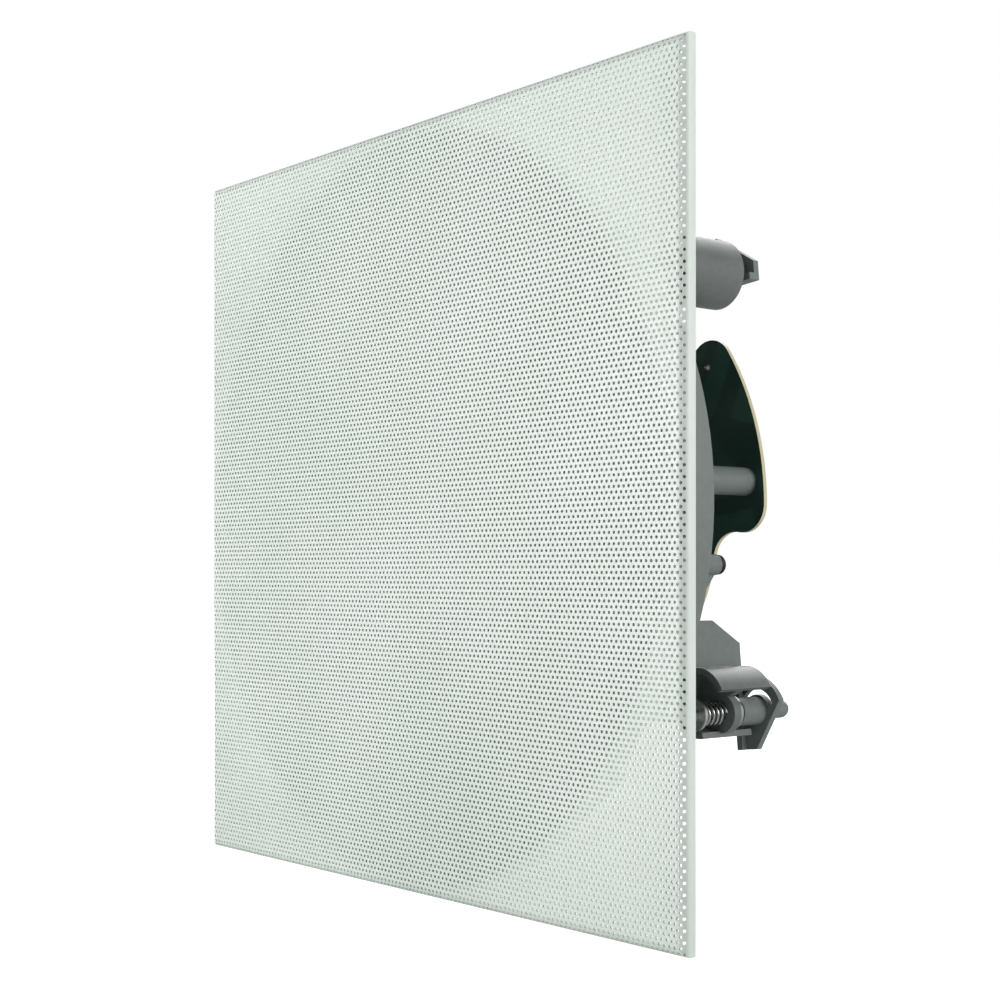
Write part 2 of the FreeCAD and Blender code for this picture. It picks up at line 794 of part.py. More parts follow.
def make_clamp_screw():
    """The long screw of one clamp, with a cross recess in its head."""
    end = plate_rear + nub_length - nub_wall_end - clamp_screw_end_gap
    head = rod(clamp_head_radius, flange_front, flange_front + clamp_head_height)
    reach = clamp_slot_reach * clamp_head_radius
    half = clamp_head_slot / 2.0
    depth = (flange_front - cut_margin, flange_front + clamp_slot_depth * clamp_head_height)
    cross = block((-reach, reach), depth, (-half, half)).fuse(block((-half, half), depth, (-reach, reach)))
    shank = rod(clamp_thread_radius, flange_front + clamp_head_height, end)
    return joined(head, shank).cut(cross)


def make_clamp_nut():
    """The flanged sleeve nut that draws the barrel forward."""
    sleeve = rod(nut_sleeve_radius, washer_front, nut_rear)
    flange = rod(nut_flange_radius, nut_flange_front, nut_rear)
    bore = rod(clamp_thread_radius + thread_clearance, washer_front, nut_rear)
    return joined(sleeve, flange).cut(bore)


def make_clamp_washer():
    """The washer that holds the spring on the nut's sleeve."""
    return ring(washer_radius, nut_sleeve_radius, washer_front, washer_rear)


def make_clamp_spring():
    """The coil spring that presses the barrel against the nut."""
    mean = spring_radius - spring_wire_radius + thread_clearance
    rise = spring_length - 2.0 * spring_wire_radius
    helix = Part.makeHelix(rise / spring_turns, rise, mean)
    wire_end = Part.Wire(Part.makeCircle(spring_wire_radius, Vector(mean, 0, 0), Vector(0, 1, 0)))
    coil = Part.Wire(helix).makePipeShell([wire_end], True, True)
    coil.rotate(CENTRE, Vector(1, 0, 0), -90)
    coil.translate(Vector(0, spring_front + spring_wire_radius, 0))
    return coil


def make_barrel():
    """The eccentric barrel of a stowed clamp, open on one side, with a web that turns on the nut."""
    centre = -barrel_offset
    shell = ring(barrel_radius, barrel_radius - barrel_wall, barrel_front, barrel_rear, centre, 0)
    mouth = sector(2.0 * barrel_radius, barrel_front, barrel_rear, barrel_open_from, barrel_open_to)
    mouth.translate(Vector(centre, 0, 0))
    web = rod(barrel_radius - barrel_wall / 2.0, web_front, web_rear, centre, 0).cut(mouth)
    hub = rod(barrel_hub_radius, web_front, web_rear)
    bore = rod(nut_sleeve_radius + thread_clearance, web_front, web_rear)
    return joined(shell.cut(mouth), web, hub).cut(bore)


def make_clamps():
    """All clamps: the stowed barrels, and one that is part swung as in the photograph."""
    for index, turn in enumerate(clamp_turns()):
        number = str(index + 1)
        barrel = make_barrel()
        if index == swung_clamp:
            barrel = spun_about(barrel, -swung_angle, 0, 0)
        save("clamp_screw_" + number, placed_at_clamp(make_clamp_screw(), turn))
        save("clamp_nut_" + number, placed_at_clamp(make_clamp_nut(), turn))
        save("clamp_washer_" + number, placed_at_clamp(make_clamp_washer(), turn))
        save("clamp_spring_" + number, placed_at_clamp(make_clamp_spring(), turn))
        save("clamp_barrel_" + number, placed_at_clamp(barrel, turn))


os.makedirs("parts", exist_ok=True)
save("grille", make_grille())
save("grille_magnets", *make_grille_magnets())
save("chassis", make_chassis())
save("surround", make_surround())
save("cone", make_cone())
save("voice_coil", make_voice_coil())
save("spider", make_spider())
save("top_plate", make_top_plate())
save("motor_screws", *make_motor_screws())
save("ferrite_ring", ring(ferrite_radius, ferrite_inner, top_plate_rear, ferrite_rear))
save("back_plate", make_back_plate())
save("tweeter_post", make_tweeter_post())
save("post_nut", make_post_nut())
save("tweeter_housing", make_tweeter_housing())
save("tweeter_motor", make_tweeter_motor())
save("tweeter_face", make_tweeter_face())
save("tweeter_dome", make_tweeter_dome())
save("crossover_board", make_board())
save("board_screws", *make_board_screws())
save("large_inductor", make_coil(large_coil_radius, large_coil_bore, large_coil_height,
                                 large_coil_circle, large_coil_angle))
save("small_inductor", make_coil(small_coil_radius, small_coil_bore, small_coil_height,
                                 small_coil_circle, small_coil_angle))
save("capacitors", *make_capacitors())
save("resistor", make_resistor())
save("input_tabs", *make_input_tabs())
save("boss_screws", *make_boss_screws())
make_clamps()
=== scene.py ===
import json
import math

import bpy
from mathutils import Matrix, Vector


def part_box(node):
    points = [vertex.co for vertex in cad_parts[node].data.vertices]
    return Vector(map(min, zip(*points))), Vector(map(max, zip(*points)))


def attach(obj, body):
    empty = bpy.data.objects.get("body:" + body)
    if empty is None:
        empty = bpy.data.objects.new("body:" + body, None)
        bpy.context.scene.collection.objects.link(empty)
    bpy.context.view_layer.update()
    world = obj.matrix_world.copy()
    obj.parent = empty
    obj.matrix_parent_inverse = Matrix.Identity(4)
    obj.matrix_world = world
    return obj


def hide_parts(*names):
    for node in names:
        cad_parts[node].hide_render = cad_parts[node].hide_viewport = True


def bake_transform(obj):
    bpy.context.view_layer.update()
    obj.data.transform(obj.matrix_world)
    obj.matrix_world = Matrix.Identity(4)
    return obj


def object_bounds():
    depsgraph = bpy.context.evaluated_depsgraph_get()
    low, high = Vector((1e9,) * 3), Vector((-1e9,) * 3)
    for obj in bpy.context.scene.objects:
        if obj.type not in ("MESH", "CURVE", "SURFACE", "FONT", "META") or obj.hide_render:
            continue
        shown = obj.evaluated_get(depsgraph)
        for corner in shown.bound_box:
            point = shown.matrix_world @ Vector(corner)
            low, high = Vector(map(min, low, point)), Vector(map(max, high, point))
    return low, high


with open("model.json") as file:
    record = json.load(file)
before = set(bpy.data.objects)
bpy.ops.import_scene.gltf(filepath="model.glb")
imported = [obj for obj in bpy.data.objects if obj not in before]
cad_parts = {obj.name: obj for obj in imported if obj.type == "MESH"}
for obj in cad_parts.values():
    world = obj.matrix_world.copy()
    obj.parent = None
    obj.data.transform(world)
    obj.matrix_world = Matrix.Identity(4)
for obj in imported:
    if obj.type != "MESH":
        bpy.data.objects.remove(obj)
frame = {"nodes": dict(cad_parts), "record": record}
cad_low, cad_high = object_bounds()

# Sizes in metres, in the frame of the solids. Y runs from the listener into the ceiling.
MM = 0.001
QUARTER = math.pi / 2.0
FACING_LISTENER = (QUARTER, 0, 0)
WELD = 0.01 * MM
CRISP = math.radians(40.0)

# Grille: a folded pan of perforated sheet
grille_low, grille_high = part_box("grille")
SHEET = 0.8 * MM
BEND = 3.0 * MM
BEND_STEPS = 6
HOLE_PITCH = 2.229 * MM
ROW_PITCH = 1.806 * MM
HOLE_RADIUS = 0.605 * MM
HOLE_SIDES = 6
FLAT_HALF = grille_high.x - BEND
PERFORATED_HALF = 139.87 * MM
FRONT_BANDS = 4
BAND_ROWS = 40
FRONT_COLUMNS = 129

# Suspension: the surround's roll and the spider's pleats
surround_low, surround_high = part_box("surround")
cone_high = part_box("cone")[1]
ROUND_STEPS = 144
SURROUND_SKIN = 0.8 * MM
SURROUND_LIP = 5.0 * MM
ROLL_STEPS = 18
spider_low, spider_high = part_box("spider")
coil_low, coil_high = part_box("voice_coil")
COIL_WINDING = 0.9 * MM
SPIDER_SKIN = 0.6 * MM
SPIDER_COLLAR = 3.0 * MM
SPIDER_EDGE = 9.0 * MM
SPIDER_PLEATS = 3
PLEAT_STEPS = 10

# Solder joints on the board's near face: (radius, height) of their shape in millimetres, and (radius, angle) of the
# leads in millimetres and degrees
board_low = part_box("crossover_board")[0]
SOLDER_STEPS = 12
SOLDER_PROFILE = ((1.1, 0.0), (0.9, 0.25), (0.6, 0.6), (0.4, 0.9), (0.4, 1.3), (0.2, 1.4))
TWEETER_LEADS = ((88.0, 35.2), (63.2, 33.8), (63.2, 7.2), (77.9, 9.8))
INPUT_LEADS = ((77.6, 184.6), (77.6, 214.4))
COIL_LEADS = ((66.8, 115.0), (66.8, 136.0), (65.8, 240.3), (65.8, 250.7))
RESISTOR_LEADS = ((67.0, 53.5), (67.0, 77.5))

# Cross recesses in the screws' heads, each screw turned on from the one before
RECESS_REACH = 3.8 * MM
RECESS_WIDTH = 0.9 * MM
RECESS_DEPTH = 1.3 * MM
RECESS_TURN = 0.7

# Stage: floor, room, lights and camera. A light has a name, a place, a point to look at, a size and a power.
FLOOR_SIZE = 8.0
FLOOR_FADE = (0.1, 0.6)
ROOM_LIGHT = 0.2
LIGHTS = (("key", (-1.3, -1.9, 0.2), (0, 0, 0), 0.65, 37.0),
          ("side", (1.5, 0.5, 0.35), (0.1, 0.05, 0), 0.8, 13.5),
          ("rear", (-0.5, 1.6, 0.9), (0, 0.05, 0), 1.2, 22.0))
CAMERA_PLACE = (0.5001, -0.3762, -0.0238)
CAMERA_TURN = math.radians(50.37)
CAMERA_LENS = 61.43
CAMERA_RISE = 0.0734
CAMERA_NEAR = 0.01


# Hand tools
def srgb(red, green, blue):
    """A colour given as the eye sees it, 0 to 255, as the linear values that shaders take."""
    def linear(value):
        share = value / 255.0
        return share / 12.92 if share <= 0.04045 else ((share + 0.055) / 1.055) ** 2.4

    return linear(red), linear(green), linear(blue), 1.0


def clear_selection():
    """Nothing selected, so that the next tool acts on the new piece alone."""
    if bpy.context.object and bpy.context.object.mode != "OBJECT":
        bpy.ops.object.mode_set(mode="OBJECT")
    bpy.ops.object.select_all(action="DESELECT")


def pick(piece):
    """Make one piece the only selected and active one."""
    clear_selection()
    piece.select_set(True)
    bpy.context.view_layer.objects.active = piece


def settle():
    """Write the active piece's place, turn and size into its mesh."""
    bpy.ops.object.transform_apply(location=True, rotation=True, scale=True)
    return bpy.context.object


def apply(piece, kind, **settings):
    """Give a piece a modifier with these settings and apply it at once."""
    pick(piece)
    modifier = piece.modifiers.new(kind.lower(), kind)
    for setting, value in settings.items():
        setattr(modifier, setting, value)
    bpy.ops.object.modifier_apply(modifier=modifier.name)


def edit(piece):
    """Open a piece for editing with all of it selected."""
    pick(piece)
    bpy.ops.object.mode_set(mode="EDIT")
    bpy.ops.mesh.select_mode(type="VERT")
    bpy.ops.mesh.select_all(action="SELECT")


def close_edit():
    """Back from editing."""
    bpy.ops.object.mode_set(mode="OBJECT")


def work(piece, tool, **settings):
    """Use one editing tool on all of a piece."""
    edit(piece)
    tool(**settings)
    close_edit()


def smooth(piece):
    """Shade a piece smooth, with its sharp edges kept."""
    pick(piece)
    bpy.ops.object.shade_smooth_by_angle(angle=CRISP)


def remove(piece):
    """Delete a piece that has done its work."""
    pick(piece)
    bpy.ops.object.delete()


def join(pieces, name):
    """Make one piece of several."""
    pick(pieces[0])
    for piece in pieces[1:]:
        piece.select_set(True)
    bpy.ops.object.join()
    joined = bpy.context.object
    joined.name = name
    return joined


def ring(sides, radius, depth, fill="NOTHING"):
    """A new circle round the speaker's axis."""
    clear_selection()
    bpy.ops.mesh.primitive_circle_add(
        vertices=sides, radius=radius, fill_type=fill, location=(0, depth, 0), rotation=FACING_LISTENER)
    return settle()


def draw_out(loops, extrude):
    """Draw the selected loop out from each (reach, depth) about the speaker's axis to the next one."""
    for (reach, depth), (next_reach, next_depth) in zip(loops, loops[1:]):
        extrude()
        share = next_reach / reach
        bpy.ops.transform.resize(value=(share, 1, share), center_override=(0, 0, 0))
        bpy.ops.transform.translate(value=(0, next_depth - depth, 0))


# Perforated grille
def perforated_sheet(name, first_row):
    """A flat sheet in the grille's front plane: one ring of faces round each hole, in staggered rows."""
    sheet = ring(HOLE_SIDES, HOLE_RADIUS, 0)
    sheet.name = name
    edit(sheet)
    bpy.ops.mesh.extrude_edges_move()
    web_across = HOLE_PITCH / 2.0 / (HOLE_RADIUS * math.cos(math.pi / HOLE_SIDES))
    web_up = ROW_PITCH * 2.0 / 3.0 / HOLE_RADIUS
    bpy.ops.transform.resize(value=(web_across, 1, web_up), center_override=(0, 0, 0))
    close_edit()
    first_height = (first_row - FRONT_BANDS * BAND_ROWS // 2) * ROW_PITCH
    sheet.location = (-(FRONT_COLUMNS // 2) * HOLE_PITCH, grille_low.y, first_height)
    settle()
    steps = [(FRONT_COLUMNS, (HOLE_PITCH, 0, 0)), (2, (HOLE_PITCH / 2.0, 0, ROW_PITCH)),
             (BAND_ROWS // 2, (0, 0, 2.0 * ROW_PITCH))]
    for count, step in steps:
        apply(sheet, "ARRAY", count=count, use_relative_offset=False, use_constant_offset=True,
              constant_offset_displace=step)
    work(sheet, bpy.ops.mesh.remove_doubles, threshold=WELD)
    return sheet


def thicken_sheet(sheet):
    """Turn a sheet's face outward and give it its gauge behind that face."""
    work(sheet, bpy.ops.mesh.normals_make_consistent, inside=False)
    if sum(polygon.normal.y for polygon in sheet.data.polygons) > 0:
        work(sheet, bpy.ops.mesh.flip_normals)
    apply(sheet, "SOLIDIFY", thickness=SHEET, offset=-1.0, use_rim=True, use_even_offset=True)
    smooth(sheet)


def on_bend(turn):
    """Reach and depth of a point on the sheet's bend."""
    return FLAT_HALF + BEND * math.sin(turn), grille_low.y + BEND * (1.0 - math.cos(turn))


def bend_rim(band):
    """Bend a band's outer rim back round the edge of the grille, with the corners mitred."""
    for vertex in band.data.vertices:
        turns = [max(abs(vertex.co[axis]) - FLAT_HALF, 0.0) / BEND for axis in (0, 2)]
        for axis, turn in zip((0, 2), turns):
            if turn > 0.0:
                vertex.co[axis] = math.copysign(on_bend(turn)[0], vertex.co[axis])
        vertex.co.y = on_bend(max(turns))[1]


def front_band(index):
    """One of the level bands that make the grille's perforated front."""
    band = perforated_sheet("grille_band_%d" % (index + 1), index * BAND_ROWS)
    for side in (-1, 1):
        for outward in ((side, 0, 0), (0, 0, side)):
            point = [PERFORATED_HALF * share for share in outward]
            work(band, bpy.ops.mesh.bisect, plane_co=point, plane_no=outward, clear_outer=True)
    bend_rim(band)
    thicken_sheet(band)
    return band


def plain_edge():
    """The plain edge of the sheet: the rest of the bend and the straight return, drawn out of one square loop."""
    first_turn = (PERFORATED_HALF - FLAT_HALF) / BEND
    loops = [on_bend(first_turn + (QUARTER - first_turn) * step / BEND_STEPS) for step in range(BEND_STEPS + 1)]
    loops.append((grille_high.x, grille_high.y))
    reach, depth = loops[0]
    clear_selection()
    bpy.ops.mesh.primitive_plane_add(size=2.0 * reach, location=(0, depth, 0), rotation=FACING_LISTENER)
    edge = settle()
    edge.name = "grille_edge"
    edit(edge)
    bpy.ops.mesh.delete(type="ONLY_FACE")
    bpy.ops.mesh.select_all(action="SELECT")
    draw_out(loops, bpy.ops.mesh.extrude_edges_move)
    close_edit()
    thicken_sheet(edge)
    return edge


# Suspension
def turned_skin(name, profile, thickness):
    """A thin ring turned about the speaker's axis: one circle of edges, drawn out along (radius, depth) points."""
    skin = ring(ROUND_STEPS, *profile[0])
    skin.name = name
    edit(skin)
    draw_out(profile, bpy.ops.mesh.extrude_edges_move)
    close_edit()
    work(skin, bpy.ops.mesh.normals_make_consistent, inside=False)
    apply(skin, "SOLIDIFY", thickness=thickness, offset=0.0, use_rim=True, use_even_offset=True)
    smooth(skin)
    return skin


def flex(skin, held_radius, moved_radius):
    """Write a ring's place into its mesh, and work out each point's share of the way from its held edge to its
    other edge; the share is not kept.
    """
    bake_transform(skin)
    for vertex in skin.data.vertices:
        share = (held_radius - math.hypot(vertex.co.x, vertex.co.z)) / (held_radius - moved_radius)
        share = min(max(share, 0.0), 1.0)


def surround_roll():
    """The half roll of rubber with its two flat lips."""
    level = surround_high.y - SURROUND_SKIN / 2.0
    outer = surround_high.x - SURROUND_LIP
    inner = cone_high.x
    centre = 0.5 * (outer + inner)
    crest = 0.5 * (outer - inner) - SURROUND_SKIN / 2.0
    profile = [(inner - SURROUND_LIP, level)]
    for step in range(ROLL_STEPS + 1):
        turn = math.pi * step / ROLL_STEPS
        profile.append((centre - crest * math.cos(turn), level - crest * math.sin(turn)))
    profile.append((surround_high.x, level))
    roll = turned_skin("surround_roll", profile, SURROUND_SKIN)
    flex(roll, outer, inner)
    return roll


def spider_disc():
    """The pleated cloth ring behind the cone."""
    level = spider_high.y - SPIDER_SKIN / 2.0
    inner = 0.5 * (coil_high.x - coil_low.x) - COIL_WINDING
    rim = spider_high.x
    first = inner + SPIDER_COLLAR
    last = rim - SPIDER_EDGE
    wave = 0.5 * (spider_high.y - spider_low.y - SPIDER_SKIN)
    profile = [(inner, level)]
    steps = SPIDER_PLEATS * PLEAT_STEPS
    for step in range(steps + 1):
        turn = 2.0 * math.pi * step / PLEAT_STEPS
        profile.append((first + (last - first) * step / steps, level - wave * (1.0 - math.cos(turn))))
    profile.append((rim, level))
    disc = turned_skin("spider_disc", profile, SPIDER_SKIN)
    flex(disc, last, first)
    return disc


# Crossover board
def solder_joint():
    """One cone of solder with the clipped end of its lead, on the axis of the speaker."""
    loops = [(radius * MM, board_low.y - height * MM) for radius, height in SOLDER_PROFILE]
    joint = ring(SOLDER_STEPS, *loops[0], fill="NGON")
    edit(joint)
    draw_out(loops, bpy.ops.mesh.extrude_region_move)
    close_edit()
    work(joint, bpy.ops.mesh.normals_make_consistent, inside=False)
    smooth(joint)
    return joint


def solder_joints():
    """A copy of the joint at every lead that comes through the board."""
    first = solder_joint()
    copies = []
    for radius, angle in TWEETER_LEADS + INPUT_LEADS + COIL_LEADS + RESISTOR_LEADS:
        pick(first)
        bpy.ops.object.duplicate()
        turn = math.radians(angle)
        bpy.context.object.location = (radius * MM * math.cos(turn), 0, radius * MM * math.sin(turn))
        copies.append(settle())
    remove(first)
    return join(copies, "solder_joints")


# Screws
def recess_blade(place, turn):
    """One of the two blades that cut a cross into a screw's head."""
    clear_selection()
    bpy.ops.mesh.primitive_cube_add(size=1.0, location=place, rotation=(0, turn, 0))
    bpy.context.object.scale = (RECESS_REACH, 2.0 * RECESS_DEPTH, RECESS_WIDTH)
    return settle()


def recessed_screws(node, name):
    """A copy of a node's screws, with a cross recess in the rear end of each."""
    copy = bpy.data.objects.new(name, frame["nodes"][node].data.copy())
    bpy.context.scene.collection.objects.link(copy)
    work(copy, bpy.ops.mesh.remove_doubles, threshold=WELD)
    bpy.ops.mesh.separate(type="LOOSE")
    screws = list(bpy.context.selected_objects)
    for number, screw in enumerate(screws):
        across, along, up = ([vertex.co[axis] for vertex in screw.data.vertices] for axis in range(3))
        place = (0.5 * (min(across) + max(across)), max(along), 0.5 * (min(up) + max(up)))
        for turn in (0.0, QUARTER):
            blade = recess_blade(place, RECESS_TURN * number + turn)
            apply(screw, "BOOLEAN", operation="DIFFERENCE", solver="EXACT", object=blade)
            remove(blade)
        smooth(screw)
    return join(screws, name)


# Shared surface effects
class Graph:
    """A small hand for wiring nodes in a material or a group."""

    def __init__(self, tree):
        self.tree = tree

    def link(self, value, goal):
        """Lead a value to an input."""
        self.tree.links.new(value, goal)

    def node(self, kind, inputs=None, **settings):
        """A new node with its settings, and its inputs set or linked."""
        made = self.tree.nodes.new(kind)
        for setting, value in settings.items():
            setattr(made, setting, value)
        for key, value in (inputs or {}).items():
            if isinstance(value, bpy.types.NodeSocket):
                self.link(value, made.inputs[key])
            else:
                made.inputs[key].default_value = value
        return made

    def place(self):
        """Where a point lies in the frame of the solids."""
        return self.node("ShaderNodeTexCoord").outputs["Object"]

    def mapped(self, place, **inputs):
        """A place turned or scaled before a pattern reads it."""
        return self.node("ShaderNodeMapping", {"Vector": place, **inputs}).outputs[0]

    def parts(self, vector):
        """The X, Y and Z of a vector."""
        return self.node("ShaderNodeSeparateXYZ", {"Vector": vector}).outputs

    def noise(self, scale, detail, roughness, place):
        """Soft clouds or fine grain, from 0 to 1."""
        inputs = {"Scale": scale, "Detail": detail, "Roughness": roughness, "Vector": place}
        return self.node("ShaderNodeTexNoise", inputs).outputs["Fac"]

    def math(self, operation, first, second=0.0):
        """One sum on two values."""
        return self.node("ShaderNodeMath", {0: first, 1: second}, operation=operation).outputs[0]

    def mostly(self, first, second):
        """Seven parts of one value and three of another."""
        return self.math("ADD", self.math("MULTIPLY", first, 0.7), self.math("MULTIPLY", second, 0.3))

    def stretch(self, value, low, high, to_low=0.0, to_high=1.0):
        """A value's span from low to high, laid on another span."""
        inputs = {"Value": value, "From Min": low, "From Max": high, "To Min": to_low, "To Max": to_high}
        return self.node("ShaderNodeMapRange", inputs).outputs["Result"]

    def mix(self, factor, first, second):
        """Two colours mixed by a factor."""
        return self.node("ShaderNodeMix", {0: factor, 6: first, 7: second}, data_type="RGBA").outputs[2]

    def tint(self, pattern, dark, light, low=0.35, high=0.65):
        """A colour that goes from dark to light where a pattern goes from low to high."""
        return self.mix(self.stretch(pattern, low, high), dark, light)

    def gloss(self, pattern, smoothest, roughest):
        """A roughness that follows a pattern."""
        return self.stretch(pattern, 0.3, 0.7, smoothest, roughest)

    def group(self, group, **inputs):
        """A shared effect with this material's own values."""
        return self.node("ShaderNodeGroup", inputs, node_tree=group).outputs


def new_group(name, inputs, outputs):
    """An empty node group with float inputs and outputs, and the graph to fill it."""
    group = bpy.data.node_groups.new(name, "ShaderNodeTree")
    for key, value in inputs.items():
        made = group.interface.new_socket(name=key, in_out="INPUT", socket_type="NodeSocketFloat")
        made.default_value = value
    for key in outputs:
        group.interface.new_socket(name=key, in_out="OUTPUT", socket_type="NodeSocketFloat")
    graph = Graph(group)
    given = graph.node("NodeGroupInput").outputs
    result = graph.node("NodeGroupOutput").inputs
    return group, graph, given, result


def make_moulded_grain():
    """Spark-eroded grain of a moulding, and the slow change of tone across it."""
    group, graph, given, result = new_group("moulded_grain", {"Grains": 1800.0}, ["Height", "Tone"])
    place = graph.place()
    coarse = graph.noise(given["Grains"], 3.0, 0.6, place)
    flow = graph.noise(14.0, 3.0, 0.55, place)
    speck = graph.noise(420.0, 1.0, 0.5, place)
    graph.link(coarse, result["Height"])
    graph.link(graph.mostly(flow, speck), result["Tone"])
    return group


def make_settled_dust():
    """Dust where a face looks up, broken up by a soft noise."""
    group, graph, given, result = new_group("settled_dust", {"Amount": 0.5}, ["Mask"])
    normal = graph.node("ShaderNodeNewGeometry").outputs["Normal"]
    facing = graph.stretch(graph.parts(normal)["Z"], 0.35, 1.0)
    cloud = graph.stretch(graph.noise(60.0, 4.0, 0.6, graph.place()), 0.35, 0.75)
    mask = graph.math("MULTIPLY", graph.math("MULTIPLY", facing, cloud), given["Amount"])
    graph.link(mask, result["Mask"])
    return group


def make_fine_scratches():
    """Hair scratches that run in a few directions."""
    group, graph, given, result = new_group("fine_scratches", {"Lines": 900.0}, ["Mask"])
    place = graph.place()
    found = []
    for turn in (0.3, 1.7, 2.6):
        turned = graph.mapped(place, Rotation=(turn, turn * 0.6, turn * 1.3), Scale=(0.05, 1.0, 1.0))
        found.append(graph.stretch(graph.noise(given["Lines"], 1.0, 0.4, turned), 0.66, 0.74))
    mask = graph.math("MAXIMUM", graph.math("MAXIMUM", found[0], found[1]), found[2])
    graph.link(mask, result["Mask"])
    return group


def make_lathe_lines():
    """Fine rings of a turned or ground face round the speaker's axis."""
    group, graph, given, result = new_group("lathe_lines", {"Lines": 2600.0}, ["Height"])
    parts = graph.parts(graph.place())
    square = graph.math("ADD", graph.math("MULTIPLY", parts["X"], parts["X"]),
                        graph.math("MULTIPLY", parts["Z"], parts["Z"]))
    radius = graph.math("SQRT", square)
    along = graph.math("ADD", radius, graph.math("MULTIPLY", parts["Y"], 0.7))
    lines = graph.node("ShaderNodeTexNoise", {"W": along, "Scale": given["Lines"], "Detail": 2.0},
                       noise_dimensions="1D").outputs["Fac"]
    graph.link(lines, result["Height"])
    return group


def make_weave():
    """Warp and weft of a fine cloth."""
    group, graph, given, result = new_group("weave", {"Threads": 900.0}, ["Height"])
    place = graph.place()
    waves = []
    for turn in (0.0, QUARTER):
        turned = graph.mapped(place, Rotation=(0.0, turn, 0.0))
        waves.append(graph.node("ShaderNodeTexWave", {
            "Vector": turned, "Scale": given["Threads"], "Distortion": 0.6, "Detail": 1.0}).outputs["Fac"])
    graph.link(graph.math("MAXIMUM", waves[0], waves[1]), result["Height"])
    return group


def make_pores():
    """Small round pits of a fired body: 0 in a pit's middle, 1 on the face between the pits."""
    group, graph, given, result = new_group("pores", {"Pores": 900.0, "Middle": 0.08, "Rim": 0.3}, ["Mask"])
    cells = graph.node("ShaderNodeTexVoronoi", {"Vector": graph.place(), "Scale": given["Pores"]})
    graph.link(graph.stretch(cells.outputs["Distance"], given["Middle"], given["Rim"]), result["Mask"])
    return group


moulded_grain = make_moulded_grain()
settled_dust = make_settled_dust()
fine_scratches = make_fine_scratches()
lathe_lines = make_lathe_lines()
weave = make_weave()
pores = make_pores()


# Finishes
def finish(name, **sockets):
    """A new material with its shader and the graph to dress it."""
    material = bpy.data.materials.new(name)
    material.use_nodes = True
    graph = Graph(material.node_tree)
    shader = material.node_tree.nodes["Principled BSDF"]
    for key, value in sockets.items():
        shader.inputs[key.replace("_", " ")].default_value = value
    return material, graph, shader


def wire(graph, shader, colour, roughness, height, strength, distance):
    """Lead what varies over the surface into the shader."""
    graph.link(colour, shader.inputs["Base Color"])
    graph.link(roughness, shader.inputs["Roughness"])
    bump = graph.node("ShaderNodeBump", {"Height": height, "Strength": strength, "Distance": distance})
    graph.link(bump.outputs["Normal"], shader.inputs["Normal"])


def moulded_plastic(name, dark, light, dust, grains=1800.0, rough=0.52):
    """Grained, matt plastic with a little dust on what looks up."""
    material, graph, shader = finish(name)
    grain = graph.group(moulded_grain, Grains=grains)
    colour = graph.tint(grain["Tone"], dark, light)
    dusty = graph.group(settled_dust, Amount=dust)["Mask"]
    colour = graph.mix(dusty, colour, srgb(196, 194, 186))
    roughness = graph.gloss(grain["Tone"], rough - 0.06, rough + 0.08)
    wire(graph, shader, colour, roughness, grain["Height"], 0.25, 0.05 * MM)
    return material


def white_powder_coat(name):
    """Satin white powder coat with its orange peel."""
    material, graph, shader = finish(name)
    place = graph.place()
    peel = graph.noise(700.0, 2.0, 0.5, place)
    flow = graph.noise(9.0, 3.0, 0.5, place)
    colour = graph.tint(flow, srgb(228, 237, 230), srgb(238, 246, 240))
    wire(graph, shader, colour, graph.gloss(peel, 0.38, 0.5), peel, 0.25, 0.04 * MM)
    return material


def plated_metal(name, dark, light, rough, lathe):
    """Plated steel with clouded plating, hair scratches and faint tool rings."""
    material, graph, shader = finish(name, Metallic=1.0)
    cloud = graph.noise(55.0, 4.0, 0.6, graph.place())
    scratch = graph.group(fine_scratches, Lines=900.0)["Mask"]
    colour = graph.tint(cloud, dark, light)
    roughness = graph.math("ADD", graph.gloss(cloud, rough - 0.07, rough + 0.09),
                           graph.math("MULTIPLY", scratch, 0.12))
    lines = graph.group(lathe_lines, Lines=2600.0)["Height"]
    wire(graph, shader, colour, roughness, lines, lathe, 0.03 * MM)
    return material


def black_oxide(name):
    """Blackened screws, a little worn to steel."""
    material, graph, shader = finish(name, Metallic=0.6)
    scratch = graph.group(fine_scratches, Lines=1400.0)["Mask"]
    cloud = graph.noise(380.0, 3.0, 0.6, graph.place())
    colour = graph.tint(cloud, srgb(22, 23, 24), srgb(46, 46, 47), 0.35, 0.7)
    colour = graph.mix(graph.math("MULTIPLY", scratch, 0.35), colour, srgb(120, 118, 114))
    wire(graph, shader, colour, graph.gloss(cloud, 0.32, 0.5), cloud, 0.12, 0.03 * MM)
    return material


def soft_rubber(name):
    """Matt black rubber with a dusty bloom."""
    material, graph, shader = finish(name, Sheen_Weight=0.15, Sheen_Roughness=0.5)
    place = graph.place()
    bloom = graph.noise(120.0, 4.0, 0.6, place)
    fine = graph.noise(2600.0, 2.0, 0.5, place)
    colour = graph.tint(bloom, srgb(24, 24, 25), srgb(52, 51, 50), 0.4, 0.75)
    wire(graph, shader, colour, graph.gloss(bloom, 0.55, 0.75), fine, 0.2, 0.04 * MM)
    return material


def pressed_film(name):
    """The cone: filled plastic film with short fibres and pressing rings."""
    material, graph, shader = finish(name)
    fibre = graph.noise(520.0, 3.0, 0.65, graph.mapped(graph.place(), Scale=(1.0, 0.3, 0.25)))
    lines = graph.group(lathe_lines, Lines=700.0)["Height"]
    colour = graph.tint(fibre, srgb(38, 39, 40), srgb(74, 75, 76), 0.4, 0.72)
    wire(graph, shader, colour, graph.gloss(fibre, 0.36, 0.52), graph.mostly(lines, fibre), 0.25, 0.06 * MM)
    return material


